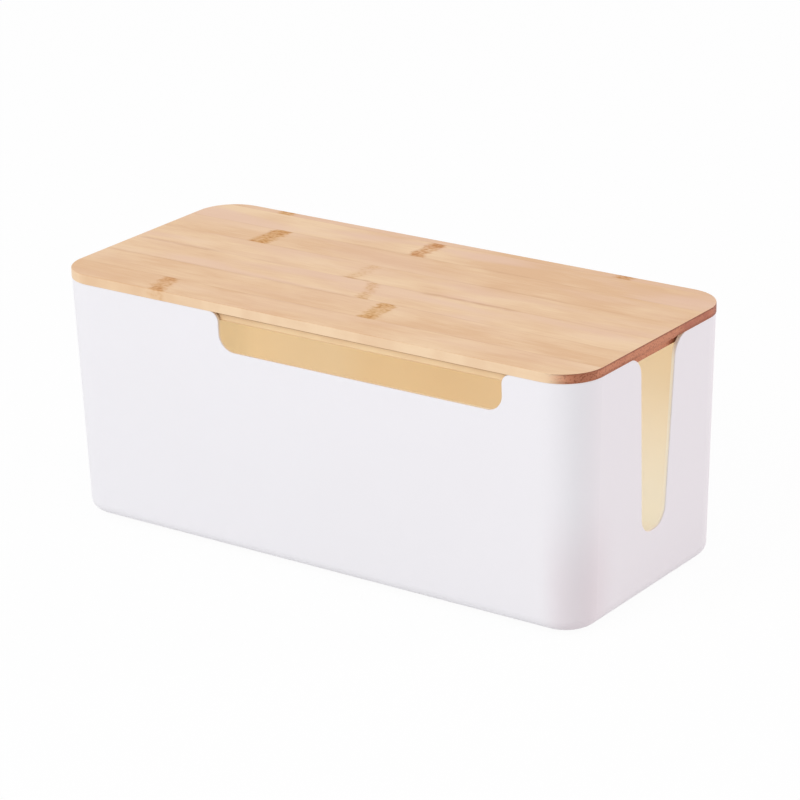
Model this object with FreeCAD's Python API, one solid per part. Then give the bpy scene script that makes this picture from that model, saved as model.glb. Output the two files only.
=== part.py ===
import FreeCAD, Part
import math
import os

# A box that hides a power strip and its cables: a white moulded tub with a lift-off bamboo lid.
# X runs along the length, Y from the front to the back, and Z up.
# The origin is on the ground under the middle of the box. Lengths are in millimetres.

# The lid's outline, which is also the outline of the whole box
lid_length = 320.0
lid_depth = 143.0
corner_radius = 21.5

# The lid: an upper ply that lies on the rim, and a smaller lower ply that drops inside it
upper_ply_thickness = 5.0
lower_ply_thickness = 5.2
lower_ply_gap = 1.0
lid_arris = 0.5
lead_in_bevel = 0.6

# The bamboo strips that each ply is glued up from: a part strip along the front and the back edge,
# and equal whole strips between them
whole_strip_count = 5
upper_front_strip_width = 20.3
upper_back_strip_width = 5.2
lower_front_strip_width = 9.2
lower_back_strip_width = 9.5

# The tub, whose walls lean inwards towards the base
shell_height = 129.7
rim_inset = 0.2
wall = 2.2
floor_thickness = 2.4
wall_draft_degrees = 1.7
base_round = 6.7
rim_round = 0.4

# The notch in the front wall
notch_width = 170.0
notch_depth = 20.2
notch_middle_x = 31.6
notch_corner_radius = 9.0
notch_mouth_radius = 5.5

# The cable slot in each end wall, which narrows towards its foot
slot_depth = 96.3
slot_mouth_width = 32.6
slot_foot_width = 21.2
slot_middle_y = 1.4
slot_foot_radius = 9.8
slot_mouth_radius = 11.0

# The rubber feet, each stuck into a shallow round pocket under the floor
foot_radius = 6.0
foot_thickness = 2.0
foot_arris = 0.5
foot_pocket_depth = 0.5
foot_pocket_gap = 0.2
foot_edge_margin = 4.0

# The mark that the moulding gate leaves in the middle of the underside
gate_dish_radius = 5.0
gate_dish_depth = 0.4
gate_nub_radius = 1.2
gate_nub_height = 0.25

# How far a cutting solid reaches past what it cuts, and how near a point has to be to an edge
overrun = 5.0
reach = 0.05

draft = math.tan(math.radians(wall_draft_degrees))
standoff = foot_thickness - foot_pocket_depth
floor_z = standoff + floor_thickness
rim_z = standoff + shell_height
rim_half_x = lid_length / 2 - rim_inset
rim_half_y = lid_depth / 2 - rim_inset
rim_radius = corner_radius - rim_inset
base_half_x = rim_half_x - shell_height * draft
base_half_y = rim_half_y - shell_height * draft
cut_through = wall + overrun + slot_depth * draft

UP = FreeCAD.Vector(0, 0, 1)
ALONG_X = FreeCAD.Vector(1, 0, 0)
ALONG_Y = FreeCAD.Vector(0, 1, 0)
SIDES = (-1, 1)


def point(x, y, z):
    return FreeCAD.Vector(x, y, z)


def extruded(outline, path):
    """Extrude a closed polygon along a vector."""
    return Part.Face(Part.makePolygon(outline + outline[:1])).extrude(path)


def edges_at(shape, places):
    """The edges whose middles are at the given places."""
    picked = []
    for edge in shape.Edges:
        middle = edge.valueAt((edge.FirstParameter + edge.LastParameter) / 2)
        if any(middle.distanceToPoint(place) < reach for place in places):
            picked.append(edge)
    return picked


def round_edges(shape, radius, places):
    """Round the edges at the given places, and what runs on smoothly from them."""
    return shape.makeFillet(radius, edges_at(shape, places))


def upright_block(half_x, half_y, radius, low_z, height):
    """A block with straight sides and rounded plan corners."""
    axis_x = half_x - radius
    axis_y = half_y - radius
    block = Part.makeBox(2 * half_x, 2 * axis_y, height, point(-half_x, -axis_y, low_z))
    block = block.fuse(Part.makeBox(2 * axis_x, 2 * half_y, height, point(-axis_x, -half_y, low_z)))
    for side_x in SIDES:
        for side_y in SIDES:
            corner = point(side_x * axis_x, side_y * axis_y, low_z)
            block = block.fuse(Part.makeCylinder(radius, height, corner, UP))
    return block.removeSplitter()


def drafted_block(half_x, half_y, radius, low_z, high_z):
    """A block with leaning sides and rounded plan corners, whose outline is given at the rim."""
    low_taper = (rim_z - low_z) * draft
    high_taper = (rim_z - high_z) * draft
    height = high_z - low_z
    axis_x = half_x - radius
    axis_y = half_y - radius
    long_section = [
        point(low_taper - half_x, -axis_y, low_z),
        point(half_x - low_taper, -axis_y, low_z),
        point(half_x - high_taper, -axis_y, high_z),
        point(high_taper - half_x, -axis_y, high_z),
    ]
    short_section = [
        point(-axis_x, low_taper - half_y, low_z),
        point(-axis_x, half_y - low_taper, low_z),
        point(-axis_x, half_y - high_taper, high_z),
        point(-axis_x, high_taper - half_y, high_z),
    ]
    block = extruded(long_section, ALONG_Y * (2 * axis_y))
    block = block.fuse(extruded(short_section, ALONG_X * (2 * axis_x)))
    for side_x in SIDES:
        for side_y in SIDES:
            corner = point(side_x * axis_x, side_y * axis_y, low_z)
            block = block.fuse(Part.makeCone(radius - low_taper, radius - high_taper, height, corner, UP))
    return block.removeSplitter()


def hollow_tub():
    """The tub before its openings are cut."""
    outside = drafted_block(rim_half_x, rim_half_y, rim_radius, standoff, rim_z)
    outside = round_edges(outside, base_round, [point(0, -base_half_y, standoff)])
    inner_half_x = rim_half_x - wall
    inner_half_y = rim_half_y - wall
    inside = drafted_block(inner_half_x, inner_half_y, rim_radius - wall, floor_z, rim_z + overrun)
    floor_edge = point(0, (rim_z - floor_z) * draft - inner_half_y, floor_z)
    inside = round_edges(inside, base_round - wall, [floor_edge])
    return outside.cut(inside)


def wall_middle(half_size, z):
    """How far out the middle of a wall's thickness is at a height."""
    return half_size - (rim_z - z) * draft - wall / 2


def cut_notch(tub):
    """Cut the wide notch at the rim of the front wall."""
    low_z = rim_z - notch_depth
    left = notch_middle_x - notch_width / 2
    right = notch_middle_x + notch_width / 2
    start_y = -rim_half_y - overrun
    outline = [
        point(left, start_y, low_z),
        point(right, start_y, low_z),
        point(right, start_y, rim_z + overrun),
        point(left, start_y, rim_z + overrun),
    ]
    tub = tub.cut(extruded(outline, ALONG_Y * (overrun + cut_through)))
    low_y = -wall_middle(rim_half_y, low_z)
    rim_y = -wall_middle(rim_half_y, rim_z)
    tub = round_edges(tub, notch_corner_radius, [point(left, low_y, low_z), point(right, low_y, low_z)])
    return round_edges(tub, notch_mouth_radius, [point(left, rim_y, rim_z), point(right, rim_y, rim_z)])


def cut_slot(tub, side):
    """Cut the tapering cable slot in one end wall."""
    low_z = rim_z - slot_depth
    lean = (slot_mouth_width - slot_foot_width) / 2 / slot_depth
    front_foot = slot_middle_y - slot_foot_width / 2
    back_foot = slot_middle_y + slot_foot_width / 2
    front_mouth = slot_middle_y - slot_mouth_width / 2
    back_mouth = slot_middle_y + slot_mouth_width / 2
    start_x = side * (rim_half_x + overrun)
    outline = [
        point(start_x, front_foot, low_z),
        point(start_x, back_foot, low_z),
        point(start_x, back_mouth + lean * overrun, rim_z + overrun),
        point(start_x, front_mouth - lean * overrun, rim_z + overrun),
    ]
    tub = tub.cut(extruded(outline, ALONG_X * (-side * (overrun + cut_through))))
    low_x = side * wall_middle(rim_half_x, low_z)
    rim_x = side * wall_middle(rim_half_x, rim_z)
    foot_corners = [point(low_x, front_foot, low_z), point(low_x, back_foot, low_z)]
    mouth_corners = [point(rim_x, front_mouth, rim_z), point(rim_x, back_mouth, rim_z)]
    tub = round_edges(tub, slot_foot_radius, foot_corners)
    return round_edges(tub, slot_mouth_radius, mouth_corners)


def foot_places():
    """The middle of each foot, with the name of its corner."""
    inset = base_round + foot_edge_margin + foot_radius
    x = base_half_x - inset
    y = base_half_y - inset
    return {
        "front_left": point(-x, -y, 0),
        "front_right": point(x, -y, 0),
        "rear_left": point(-x, y, 0),
        "rear_right": point(x, y, 0),
    }


def box_shell():
    """The moulded tub."""
    tub = cut_notch(hollow_tub())
    for side in SIDES:
        tub = cut_slot(tub, side)
    rim_middle = [point(0, rim_half_y, rim_z), point(0, rim_half_y - wall, rim_z)]
    tub = round_edges(tub, rim_round, rim_middle)
    for place in foot_places().values():
        pocket_radius = foot_radius + foot_pocket_gap
        tub = tub.cut(Part.makeCylinder(pocket_radius, foot_thickness, place, UP))
    gate_low = point(0, 0, standoff - overrun)
    tub = tub.cut(Part.makeCylinder(gate_dish_radius, overrun + gate_dish_depth, gate_low, UP))
    nub_low = point(0, 0, standoff + gate_dish_depth - gate_nub_height)
    return tub.fuse(Part.makeCylinder(gate_nub_radius, gate_nub_height, nub_low, UP))


def rubber_foot(place):
    """One round foot, with its lower edge eased."""
    foot = Part.makeCylinder(foot_radius, foot_thickness, place, UP)
    low_edges = [edge for edge in foot.Edges if edge.BoundBox.ZMax < reach]
    return foot.makeFillet(foot_arris, low_edges)


def strips(ply, half_depth, front_width, back_width):
    """Saw a ply into its strips, from the front to the back."""
    whole_width = (2 * half_depth - front_width - back_width) / whole_strip_count
    first_seam = front_width - half_depth
    seams = [first_seam + whole_width * number for number in range(whole_strip_count + 1)]
    box = ply.BoundBox
    pieces = []
    for front, back in zip([-half_depth] + seams, seams + [half_depth]):
        corner = point(box.XMin - overrun, front, box.ZMin - overrun)
        saw = Part.makeBox(box.XLength + 2 * overrun, back - front, box.ZLength + 2 * overrun, corner)
        pieces.append(ply.common(saw))
    return pieces


def upper_ply():
    """The lid's upper ply, with its top edge eased."""
    half_x = lid_length / 2
    half_y = lid_depth / 2
    ply = upright_block(half_x, half_y, corner_radius, rim_z, upper_ply_thickness)
    ply = round_edges(ply, lid_arris, [point(0, -half_y, rim_z + upper_ply_thickness)])
    return strips(ply, half_y, upper_front_strip_width, upper_back_strip_width)


def lower_ply():
    """The lid's lower ply, which fits inside the rim with a gap all round and a bevel that leads it in."""
    half_x = rim_half_x - wall - lower_ply_gap
    half_y = rim_half_y - wall - lower_ply_gap
    radius = rim_radius - wall - lower_ply_gap
    low_z = rim_z - lower_ply_thickness
    ply = upright_block(half_x, half_y, radius, low_z, lower_ply_thickness)
    ply = ply.makeChamfer(lead_in_bevel, edges_at(ply, [point(0, -half_y, low_z)]))
    return strips(ply, half_y, lower_front_strip_width, lower_back_strip_width)


def build():
    """Every piece of the box by its name."""
    pieces = {"box_shell": box_shell()}
    for corner, place in foot_places().items():
        pieces["foot_" + corner] = rubber_foot(place)
    for number, strip in enumerate(upper_ply(), 1):
        pieces["lid_top_strip_%d" % number] = strip
    for number, strip in enumerate(lower_ply(), 1):
        pieces["lid_lower_strip_%d" % number] = strip
    return pieces


os.makedirs("parts", exist_ok=True)
for name, shape in build().items():
    shape.exportStep("parts/" + name + ".step")
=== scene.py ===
import math

import bpy
from mathutils import Matrix, Vector


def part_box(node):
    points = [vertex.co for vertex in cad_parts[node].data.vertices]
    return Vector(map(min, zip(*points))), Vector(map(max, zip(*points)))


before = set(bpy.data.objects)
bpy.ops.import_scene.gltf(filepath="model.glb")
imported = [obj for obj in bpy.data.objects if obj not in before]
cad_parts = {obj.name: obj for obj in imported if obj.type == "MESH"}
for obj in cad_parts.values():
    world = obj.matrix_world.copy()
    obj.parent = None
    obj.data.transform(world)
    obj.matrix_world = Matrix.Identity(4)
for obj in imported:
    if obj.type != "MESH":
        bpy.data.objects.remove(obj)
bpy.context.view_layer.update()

MM = 0.001

# The box as the frame gives it
shell_low, shell_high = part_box("box_shell")
rim_z = shell_high.z
top_strips = sorted(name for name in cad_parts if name.startswith("lid_top_strip"))
lower_strips = sorted(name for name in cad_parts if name.startswith("lid_lower_strip"))
feet = sorted(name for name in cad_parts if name.startswith("foot"))


class Value:
    """A number that varies over a surface. An expression on it adds Math nodes."""

    def __init__(self, surface, socket):
        self.surface = surface
        self.socket = socket

    def math(self, operation, *others):
        return self.surface.math(operation, self, *others)

    def __add__(self, other):
        return self.math("ADD", other)

    def __sub__(self, other):
        return self.math("SUBTRACT", other)

    def __rsub__(self, other):
        return self.surface.math("SUBTRACT", other, self)

    def __mul__(self, other):
        return self.math("MULTIPLY", other)

    def __abs__(self):
        return self.math("ABSOLUTE")

    __radd__ = __add__
    __rmul__ = __mul__


class Surface:
    """The nodes of one material, or of the world."""

    def __init__(self, tree):
        self.tree = tree
        tree.nodes.clear()

    def node(self, kind, inputs=None, settings=None, output=0):
        """Add a node of a type, with its settings first, then the values or links of its sockets."""
        made = self.tree.nodes.new("ShaderNode" + kind)
        for key, value in (settings or {}).items():
            setattr(made, key, value)
        for key, value in (inputs or {}).items():
            if isinstance(value, Value):
                self.tree.links.new(value.socket, made.inputs[key])
            else:
                made.inputs[key].default_value = value
        if output is None:
            return made
        return Value(self, made.outputs[output])

    def math(self, operation, *values):
        return self.node("Math", dict(enumerate(values)), {"operation": operation})

    def least(self, one, other):
        return self.math("MINIMUM", one, other)

    def most(self, one, other):
        return self.math("MAXIMUM", one, other)

    def blend(self, factor, start, end):
        """A colour that goes from start to end."""
        inputs = {0: factor, 6: start, 7: end}
        return self.node("Mix", inputs, {"data_type": "RGBA", "clamp_factor": True}, output=2)

    def step(self, value, start, end):
        """0 up to start, 1 from end, and smooth between them. End may be below start."""
        inputs = {"Value": value, "From Min": start, "From Max": end}
        return self.node("MapRange", inputs, {"interpolation_type": "SMOOTHSTEP"})

    def place(self):
        """The point on the surface in the frame, in metres, as three values."""
        return self.split(self.node("TexCoord", output="Object"))

    def facing(self):
        """The direction that the surface faces, as three values."""
        return self.split(self.node("TexCoord", output="Normal"))

    def split(self, vector):
        parts = self.node("SeparateXYZ", {0: vector}, output=None)
        return [Value(self, parts.outputs[axis]) for axis in range(3)]

    def noise(self, x, y, z, detail=2.0, roughness=0.5):
        """Noise about a unit in size at the three values, mostly between 0.3 and 0.7."""
        vector = self.node("CombineXYZ", {0: x, 1: y, 2: z})
        inputs = {"Vector": vector, "Scale": 1.0, "Detail": detail, "Roughness": roughness}
        return self.node("TexNoise", inputs, {"noise_dimensions": "3D"}, output="Fac")

    def finish(self, shader):
        self.node("OutputMaterial", {"Surface": shader}, output=None)


def new_material(name):
    material = bpy.data.materials.new(name)
    material.use_nodes = True
    return material, Surface(material.node_tree)


def dress(node, material):
    """Give a piece of the frame its finish."""
    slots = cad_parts[node].data.materials
    slots.clear()
    slots.append(material)


# The tub's plastic. Its walls let light from outside through to the inside, but not back out. The inside's
# cream, and the cream tint of the light let through, are painted warm light on white plastic.
OUTSIDE_WHITE = (0.842, 0.826, 0.85, 1)
OUTSIDE_SHADE = (0.825, 0.805, 0.822, 1)
# Painted shade for the near lower corner
CORNER_PAINTED_SHADE = (0.77, 0.715, 0.74, 1)
# Painted warm light: the cream of the inside
INSIDE_PAINTED_WARM = (0.915, 0.778, 0.587, 1)
# Painted light: the paler inside near the end slot
INSIDE_PAINTED_LIGHT = (0.935, 0.895, 0.79, 1)
# Painted light on the slot's cut edge
CUT_EDGE_PAINTED_LIGHT = (0.98, 0.93, 0.83, 1)
# The light let through the walls: cream is painted warm light, pale is painted light near the end slot
GLOW_PAINTED_WARM = (0.93, 0.815, 0.62, 1)
GLOW_PAINTED_LIGHT = (0.965, 0.96, 0.88, 1)
OUTER_GLOW_SHARE = 1.0
INNER_GLOW_SHARE = 0.45
BASE_ROUND = 6.7 * MM
CORNER_RADIUS = 21.3 * MM
WALL_DRAFT = math.tan(math.radians(1.7))
# How deep in the wall, and how high over the underside, the white turns to the inside's cream
WALL_SKIN = (0.15 * MM, 1.2 * MM)
FLOOR_SKIN = (0.9 * MM, 1.8 * MM)
# The slot's cut edge lies less deep in the end wall than the inner face does
SLOT_CUT_DEPTH = (2.15 * MM, 1.9 * MM)
GRAIN_PER_METRE = 2600
GRAIN_HEIGHT = 0.06 * MM


def depth_in_wall(s, x, y, z):
    """How far a point of the tub lies inside its outer face, whose walls lean and whose base is rounded."""
    lean = (rim_z - z) * WALL_DRAFT
    across_x = abs(x) - (shell_high.x - CORNER_RADIUS)
    across_y = abs(y) - (shell_high.y - CORNER_RADIUS)
    out_x = s.most(across_x, 0)
    out_y = s.most(across_y, 0)
    from_corner = (out_x * out_x + out_y * out_y).math("SQRT")
    from_flat = s.least(s.most(across_x, across_y), 0)
    from_wall = CORNER_RADIUS - lean - from_corner - from_flat
    side = s.most(BASE_ROUND - from_wall, 0)
    under = s.most(BASE_ROUND - (z - shell_low.z), 0)
    return BASE_ROUND - (side * side + under * under).math("SQRT")


def tub_plastic():
    material, s = new_material("white_plastic_tub")
    x, y, z = s.place()
    depth = depth_in_wall(s, x, y, z)
    inside = s.step(depth, *WALL_SKIN) * s.step(z - shell_low.z, *FLOOR_SKIN)
    cloud = s.noise(x * 9, y * 9, z * 9)
    grain = s.noise(x * GRAIN_PER_METRE, y * GRAIN_PER_METRE, z * GRAIN_PER_METRE, detail=1.0)
    sag = s.noise(x * 24, y * 24, z * 30, detail=0.0)
    white = s.blend((cloud - 0.4) * 1.2, OUTSIDE_WHITE, OUTSIDE_SHADE)
    # Painted shade: greyer towards the base of the near corner
    near_corner_shade = s.step(x, 133 * MM, 149 * MM) * s.step(y, -30 * MM, -58 * MM)
    white = s.blend(near_corner_shade * s.step(z, 75 * MM, 20 * MM), white, CORNER_PAINTED_SHADE)
    # Painted light: paler inside near the end slot and in a patch at the left, mixed with cloudy tone
    pale_light_and_cloud = s.step(x, 30 * MM, 110 * MM) * (s.step(z, 110 * MM, 20 * MM) * 0.5 + 0.35)
    left_pale_light = s.step(x, -145 * MM, -115 * MM) * s.step(x, -55 * MM, -90 * MM) * 0.2
    pale_light_and_cloud = pale_light_and_cloud + left_pale_light + (cloud - 0.5) * 0.5
    # Painted light: the slot's cut edge is paler, and glows paler
    slot_edge_light = s.step(depth, *SLOT_CUT_DEPTH) * s.step(x, 135 * MM, 150 * MM)
    cream = s.blend(slot_edge_light, s.blend(pale_light_and_cloud, INSIDE_PAINTED_WARM, INSIDE_PAINTED_LIGHT), CUT_EDGE_PAINTED_LIGHT)
    colour = s.blend(inside, white, cream)
    rough = 0.40 + (cloud - 0.5) * 0.06 + (grain - 0.5) * 0.08
    bump = s.node("Bump", {"Height": grain * 0.15 + sag, "Strength": 0.25, "Distance": GRAIN_HEIGHT})
    plastic = s.node("BsdfPrincipled", {
        "Base Color": colour,
        "Roughness": rough,
        "Normal": bump,
        "IOR": 1.49,
        "Specular IOR Level": 0.3,
    })
    from_inside = s.node("NewGeometry", output="Backfacing")
    outer_share = (1 - inside) * from_inside * OUTER_GLOW_SHARE
    below_rim = s.step(rim_z - z, 5 * MM, 14 * MM)
    # Painted shade and light in the inside's glow: less of it in the middle, more at the left corner
    middle_painted_shade = s.step(x, -45 * MM, -5 * MM) * s.step(x, 75 * MM, 40 * MM)
    left_painted_light = s.step(x, -128 * MM, -143 * MM)
    inner_share = inside * below_rim * (1 + left_painted_light * 0.18 - middle_painted_shade * 0.22) * INNER_GLOW_SHARE
    warm_glow = s.node("BsdfTranslucent", {"Color": GLOW_PAINTED_WARM})
    pale_glow = s.node("BsdfTranslucent", {"Color": GLOW_PAINTED_LIGHT})
    glow = s.node("MixShader", {0: pale_light_and_cloud + slot_edge_light, 1: warm_glow, 2: pale_glow})
    s.finish(s.node("MixShader", {0: outer_share + inner_share, 1: plastic, 2: glow}))
    return material


# The bamboo: its tones, from the palest strip to the darkest, and its marks
PALE = (0.885, 0.637, 0.40, 1)
TAN = (0.765, 0.475, 0.26, 1)
ROSY = (0.815, 0.545, 0.40, 1)
EDGE_PALE = (0.875, 0.665, 0.445, 1)
EDGE_TAN = (0.83, 0.60, 0.385, 1)
EDGE_GOLD = (0.875, 0.665, 0.395, 1)
END_GRAIN = (0.60, 0.245, 0.135, 1)
END_RED = (0.46, 0.155, 0.095, 1)
# The end grain's pores, and the painted shade on the end
END_PORES_AND_SHADE = (0.27, 0.085, 0.04, 1)
KNUCKLE = (0.62, 0.295, 0.04, 1)
KNUCKLE_DEEP = (0.48, 0.175, 0.025, 1)
KNUCKLE_RED = (0.60, 0.24, 0.085, 1)
GLUE_LINE = (0.55, 0.26, 0.12, 1)
# Painted shade under the upper ply
PAINTED_SHADE_DEEP = (0.24, 0.09, 0.035, 1)
# How many of each mark fit in a metre across the strip
FIBRES_PER_METRE = 1500
FLECKS_PER_METRE = 800
STREAKS_PER_METRE = 260
SEAM_DEPTH = 1.0 * MM
DARK_SEAM_DEPTH = 2.6 * MM
SEAM_FADE = 6 * MM
FIBRE_HEIGHT = 0.05 * MM


def bamboo(name, node, left_tone, right_tone, knuckles=(), seams=(), rosy=0.5, under_ply_shade=0.0, painted_shadow=0.0,
           seed=0.0):
    """One strip of bamboo. Tones run from 0, tan, to 1, pale. Knuckles are (x, half width, strength, slant,
    redness) and dark stretches of seam are (side, start x, end x, strength), in millimetres. Rosy is how
    much of it has a pink blush, then come how dark the painted shade under the upper ply is along its upper
    edge, and how dark the painted shadow over its ends is. Seed moves its grain."""
    material, s = new_material(name)
    low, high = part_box(node)
    x, y, z = s.place()
    face_x, _, face_z = s.facing()
    from_front = y - low.y
    from_back = high.y - y
    from_seam = s.least(from_front, from_back)
    sideways = abs(face_x)
    on_side = s.step(abs(face_z), 0.85, 0.5)
    on_end = s.most(s.step(face_x, 0.04, 0.68), s.step(face_x, -0.78, -0.96)) * s.step(abs(face_z), 0.6, 0.3)

    drift = (s.noise(x * 13 + seed, y * 50, z * 50, detail=0.0) - 0.5) * 3 * MM
    across = y + z + drift
    fibre = s.noise(x * 70 + seed, across * FIBRES_PER_METRE, seed, detail=2.0)
    streak = s.noise(x * 42 + seed, across * STREAKS_PER_METRE + seed, 0.0, detail=3.0, roughness=0.65)
    fleck = s.noise(x * 55 - seed, across * FLECKS_PER_METRE + seed, 0.0, detail=1.0)
    fleck = s.step(fleck, 0.62, 0.76)
    broad = s.noise(x * 20 + seed * 3, across * 48 + seed, 0.0, detail=1.0)
    blush = s.noise(x * 13 - seed, across * 55 - seed, 3.0, detail=1.0)
    along = s.step(x, low.x, high.x)
    tone = left_tone + along * (right_tone - left_tone)
    tone = tone + (broad - 0.5) * 1.7 + (streak - 0.5) * 1.1 + (fibre - 0.5) * 0.75 - fleck * 0.3
    colour = s.blend(tone, TAN, PALE)
    colour = s.blend(s.step(blush, 0.42, 0.66) * rosy, colour, ROSY)
    edge_tone = s.step(x, -86 * MM, -70 * MM) + (streak - 0.5) * 1.6 + (fibre - 0.5) * 0.6
    edge = s.blend(edge_tone, EDGE_TAN, EDGE_GOLD if under_ply_shade else EDGE_PALE)
    colour = s.blend(on_side * 0.9, colour, edge)

    wander = (s.noise(x * 60 + seed, seed, 0.0) - 0.5) * 1.6 * MM
    broken = s.step(s.noise(x * 35 + seed, 0.0, seed), 0.42, 0.6)
    glue = s.step(from_seam + wander, SEAM_DEPTH, 0.0) * (0.06 + broken * 0.14)
    for side, start, end, strength in seams:
        distance = from_front if side == "front" else from_back
        begun = s.step(x, start * MM - SEAM_FADE, start * MM + SEAM_FADE)
        stretch = begun * s.step(x, end * MM + SEAM_FADE, end * MM - SEAM_FADE)
        patchy = s.step(s.noise(x * 110 + seed, across * 500, 0.0), 0.30, 0.60) * 0.6 + 0.4
        glue = s.most(glue, s.step(distance + wander, DARK_SEAM_DEPTH, 0.0) * stretch * patchy * strength)
    colour = s.blend(glue, colour, GLUE_LINE)

    middle_y = (low.y + high.y) / 2
    half_y = (high.y - low.y) / 2
    for place, half_width, strength, slant, redness in knuckles:
        ragged = (s.noise(x * 90 + seed, across * 260 + seed, 1.0, detail=3.0, roughness=0.6) - 0.5) * 9 * MM
        from_middle = abs(x - place * MM - (y - middle_y) * slant + ragged)
        band = s.step(from_middle, (half_width + 1.5) * MM, (half_width - 3.0) * MM)
        to_ends = s.step(abs(y - middle_y + ragged), half_y * 0.15, half_y * 0.8)
        blotch = s.noise(x * 170 + seed, across * 170, 2.0, detail=3.0, roughness=0.6)
        threads = s.noise(x * 260 + seed, across * 1300, 4.0, detail=1.0)
        specks = s.noise(x * 420 + seed, across * 620, 6.0, detail=1.0)
        band = band * (1 - on_side * 0.75) * strength
        amount = to_ends * 0.22 + 0.66 + (blotch - 0.5) + (threads - 0.5) * 0.6 + (specks - 0.5) * 1.4
        colour = s.blend(band * amount, colour, s.blend(redness, KNUCKLE, KNUCKLE_RED))
        dark = s.step(blotch * 0.45 + specks * 0.55 + to_ends * 0.05, 0.51, 0.65)
        colour = s.blend(band * dark * 0.6, colour, KNUCKLE_DEEP)
    # Painted shade along the upper edge, under the upper ply's overhang
    colour = s.blend(s.step(high.z - z, 2.1 * MM, 1.3 * MM) * under_ply_shade, colour, PAINTED_SHADE_DEEP)
    end_line = 0.0 if under_ply_shade else 0.8

    pores = s.noise(x * 900, y * 900 + seed, z * 1100, detail=2.0)
    mottle = s.noise(x * 120, y * 120 + seed, z * 260, detail=2.0)
    reddish = s.step(y, 12 * MM, 28 * MM) * 0.75 + (mottle - 0.45) * 2.0
    end_grain = s.blend(reddish, END_GRAIN, END_RED)
    # The end is darkened: painted shade where it turns round the corner, a dark line just under the top
    # edge, and a painted shadow along its lower edge, strongest where the lid sits on the rim
    turned = s.step(sideways, 0.45, 0.80) * s.step(sideways, 1.0, 0.95)
    end_darkening = turned * 0.48 + s.step(high.z - z, 1.4 * MM, 0.5 * MM) * (1 - turned * 0.7) * end_line
    on_rim = s.step(abs(y), 14 * MM, 22 * MM)
    end_darkening = s.most(end_darkening, s.step(z - low.z, 1.9 * MM, 0.5 * MM) * (on_rim * 0.35 + 0.2))
    # Painted shadow over the ends of one strip
    end_darkening = end_darkening + s.step(from_front, 2.5 * MM, 5.5 * MM) * painted_shadow
    end_grain = s.blend(end_darkening + s.step(pores, 0.50, 0.68) * 0.6, end_grain, END_PORES_AND_SHADE)
    colour = s.blend(on_end, colour, end_grain)

    rough = 0.46 + (fibre - 0.5) * 0.12 + (broad - 0.5) * 0.06
    bump = s.node("Bump", {"Height": fibre + streak * 0.6, "Strength": 0.30, "Distance": FIBRE_HEIGHT})
    s.finish(s.node("BsdfPrincipled", {
        "Base Color": colour,
        "Roughness": rough,
        "Normal": bump,
        "IOR": 1.5,
        "Specular IOR Level": 0.22,
    }))
    return material


# What each strip of the upper ply looks like, from the front to the back
TOP_LOOKS = [
    {"left_tone": 0.20, "right_tone": 0.66, "rosy": 0.2, "knuckles": [(-95.5, 5.5, 0.75, -0.3, 0.4)],
     "seams": [("back", -60, 0, 0.22)]},
    {"left_tone": 0.42, "right_tone": 0.38, "rosy": 0.15, "knuckles": [(22.5, 5.5, 0.75, -0.12, 0.0)],
     "seams": [("back", -156, 0, 0.28), ("front", 128, 156, 0.25)]},
    {"left_tone": 0.75, "right_tone": 0.62, "rosy": 0.6, "knuckles": [(0, 4.0, 0.42, -0.35, 0.1)],
     "seams": [("front", -156, 0, 0.18), ("back", -156, -106, 0.40), ("back", 25, 80, 0.45)]},
    {"left_tone": 0.66, "right_tone": 0.42, "rosy": 0.5, "knuckles": [(-20, 4.5, 0.25, 0.0, 0.0)],
     "seams": [("front", -156, -106, 0.40), ("front", -26, -8, 0.85), ("front", 25, 80, 0.60)]},
    {"left_tone": 0.35, "right_tone": 0.25, "rosy": 0.3, "knuckles": [(-97.3, 6, 1.0, 0.0, 0.2)],
     "seams": [("front", 41, 97, 0.35), ("back", -49, -8, 0.22)]},
    {"left_tone": 0.90, "right_tone": 0.05, "rosy": 0.7, "knuckles": [(-12.7, 5, 1.0, 0.0, 0.6)],
     "seams": [("front", -49, -8, 0.28), ("front", 31, 60, 0.28)]},
    {"left_tone": 0.25, "right_tone": 0.05, "rosy": 0.5,
     "knuckles": [(-114.8, 5.5, 1.0, 0.0, 0.0), (98.6, 5.5, 1.0, 0.0, 0.4)]},
]


# The lower ply's strips differ in where their one knuckle is, and one of them has a painted shadow over its
# ends
LOWER_TONES = (0.6, 0.5)
LOWER_KNUCKLE = (6, 0.7, 0.0, 0.2)
LOWER_KNUCKLE_START = -120
LOWER_KNUCKLE_SHIFT = 97
LOWER_KNUCKLE_SPAN = 240
# Painted shade along the lower ply's upper edge, under the upper ply
LOWER_PAINTED_SHADE = 0.72
SHADOWED_STRIP = "lid_lower_strip_5"
PAINTED_SHADOW_AMOUNT = 0.75

# The rubber of the feet
RUBBER_DARK = (0.25, 0.25, 0.25, 1)
RUBBER_PALE = (0.34, 0.34, 0.34, 1)
SPECKS_PER_METRE = 1800
SPECK_HEIGHT = 0.08 * MM


def foot_rubber():
    material, s = new_material("foot_rubber")
    x, y, z = s.place()
    speck = s.noise(x * SPECKS_PER_METRE, y * SPECKS_PER_METRE, z * SPECKS_PER_METRE)
    colour = s.blend(speck, RUBBER_DARK, RUBBER_PALE)
    bump = s.node("Bump", {"Height": speck, "Strength": 0.4, "Distance": SPECK_HEIGHT})
    s.finish(s.node("BsdfPrincipled", {"Base Color": colour, "Roughness": 0.75, "Normal": bump}))
    return material


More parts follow.
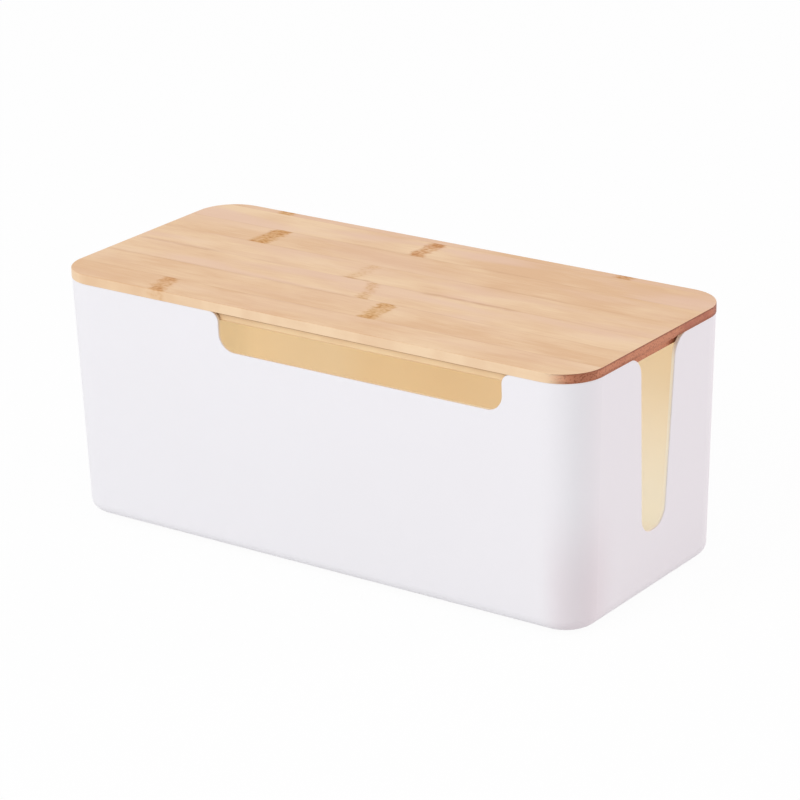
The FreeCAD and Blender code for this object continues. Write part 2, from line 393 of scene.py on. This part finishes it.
def finish_pieces():
    dress("box_shell", tub_plastic())
    rubber = foot_rubber()
    for foot in feet:
        dress(foot, rubber)
    for number, (node, look) in enumerate(zip(top_strips, TOP_LOOKS)):
        dress(node, bamboo(f"bamboo_top_{number + 1}", node, seed=number * 7.3, **look))
    for number, node in enumerate(lower_strips):
        shift = (number * LOWER_KNUCKLE_SHIFT) % LOWER_KNUCKLE_SPAN
        knuckle = (LOWER_KNUCKLE_START + shift, *LOWER_KNUCKLE)
        painted_shadow = PAINTED_SHADOW_AMOUNT if node == SHADOWED_STRIP else 0.0
        seed = 60 + number * 5.1
        dress(node, bamboo(f"bamboo_lower_{number + 1}", node, *LOWER_TONES, [knuckle], under_ply_shade=LOWER_PAINTED_SHADE,
                           painted_shadow=painted_shadow, seed=seed))


# Where the photograph was taken from, fitted to the outline of the box
FOCAL_PIXELS = 3302.5
FRAME_PIXELS = 800
CAMERA_TURN = 35.666
CAMERA_HEIGHT = 20.30
CAMERA_ROLL = -1.364
CAMERA_RIGHT = 3.791 * MM
CAMERA_UP = 66.628 * MM
CAMERA_BACK = 1719.392 * MM
FOOT_STANDOFF = 1.5 * MM


def camera():
    turn, height, roll = (math.radians(a) for a in (CAMERA_TURN, CAMERA_HEIGHT, CAMERA_ROLL))
    back = Vector((math.sin(turn) * math.cos(height), -math.cos(turn) * math.cos(height), math.sin(height)))
    level = Vector((math.cos(turn), math.sin(turn), 0))
    upright = back.cross(level)
    right = level * math.cos(roll) + upright * math.sin(roll)
    up = upright * math.cos(roll) - level * math.sin(roll)
    place = right * CAMERA_RIGHT + up * CAMERA_UP + back * CAMERA_BACK + Vector((0, 0, FOOT_STANDOFF))
    data = bpy.data.cameras.new("camera")
    data.sensor_width = 36
    data.lens = FOCAL_PIXELS / FRAME_PIXELS * data.sensor_width
    made = bpy.data.objects.new("camera", data)
    bpy.context.scene.collection.objects.link(made)
    turned = Matrix((right, up, back)).transposed().to_4x4()
    made.matrix_world = Matrix.Translation(place) @ turned
    bpy.context.scene.camera = made


# The studio: a wide lamp in front, a pinkish one behind on the right, the room's own light and a pale floor
LAMP_TARGET = (0, 0, 0.07)
KEY_PLACE = (-0.6, -2.05, 1.5)
KEY_WIDTH = 1.6
KEY_POWER = 21.5
FILL_PLACE = (2.7, 2.5, 1.5)
FILL_WIDTH = 1.2
FILL_POWER = 35
FILL_COLOUR = (1.0, 0.76, 0.79)
ROOM_COLOUR = (0.97, 0.98, 1, 1)
ROOM_STRENGTH = 0.72
FLOOR_HALF = 6.0
FLOOR_CORNERS = ((-1, -1), (1, -1), (1, 1), (-1, 1))
FLOOR_GREY = (0.92, 0.92, 0.92, 1)
FLOOR_WHITENESS = 0.95
WHITE = (1, 1, 1, 1)


def lamp(name, place, width, power, colour=(1, 1, 1)):
    data = bpy.data.lights.new(name, "AREA")
    data.shape = "DISK"
    data.size = width
    data.energy = power
    data.color = colour
    made = bpy.data.objects.new(name, data)
    bpy.context.scene.collection.objects.link(made)
    made.location = place
    made.rotation_euler = (Vector(LAMP_TARGET) - Vector(place)).to_track_quat("-Z", "Y").to_euler()


def seen_directly(surface):
    """1 for what the camera sees itself, in a reflection or through something clear."""
    ray = surface.node("LightPath", output=None)
    by_camera = Value(surface, ray.outputs["Is Camera Ray"])
    by_gloss = Value(surface, ray.outputs["Is Glossy Ray"])
    by_clear = Value(surface, ray.outputs["Is Transmission Ray"])
    return surface.most(surface.most(by_camera, by_gloss), by_clear)


def floor():
    mesh = bpy.data.meshes.new("floor")
    corners = [(side_x * FLOOR_HALF, side_y * FLOOR_HALF, 0) for side_x, side_y in FLOOR_CORNERS]
    mesh.from_pydata(corners, [], [(0, 1, 2, 3)])
    made = bpy.data.objects.new("floor", mesh)
    bpy.context.scene.collection.objects.link(made)
    material, s = new_material("floor")
    matt = s.node("BsdfDiffuse", {"Color": FLOOR_GREY})
    white = s.node("Emission", {"Color": WHITE, "Strength": 1.0})
    s.finish(s.node("MixShader", {0: seen_directly(s) * FLOOR_WHITENESS, 1: matt, 2: white}))
    mesh.materials.append(material)


def studio():
    world = bpy.data.worlds.new("studio")
    bpy.context.scene.world = world
    world.use_nodes = True
    s = Surface(world.node_tree)
    light = s.node("Background", {"Color": ROOM_COLOUR, "Strength": ROOM_STRENGTH})
    white = s.node("Background", {"Color": WHITE, "Strength": 1.0})
    mixed = s.node("MixShader", {0: seen_directly(s), 1: light, 2: white})
    s.node("OutputWorld", {"Surface": mixed}, output=None)
    lamp("key", KEY_PLACE, KEY_WIDTH, KEY_POWER)
    lamp("side_fill", FILL_PLACE, FILL_WIDTH, FILL_POWER, FILL_COLOUR)


bpy.context.scene.view_settings.view_transform = "Standard"
finish_pieces()
camera()
floor()
studio()
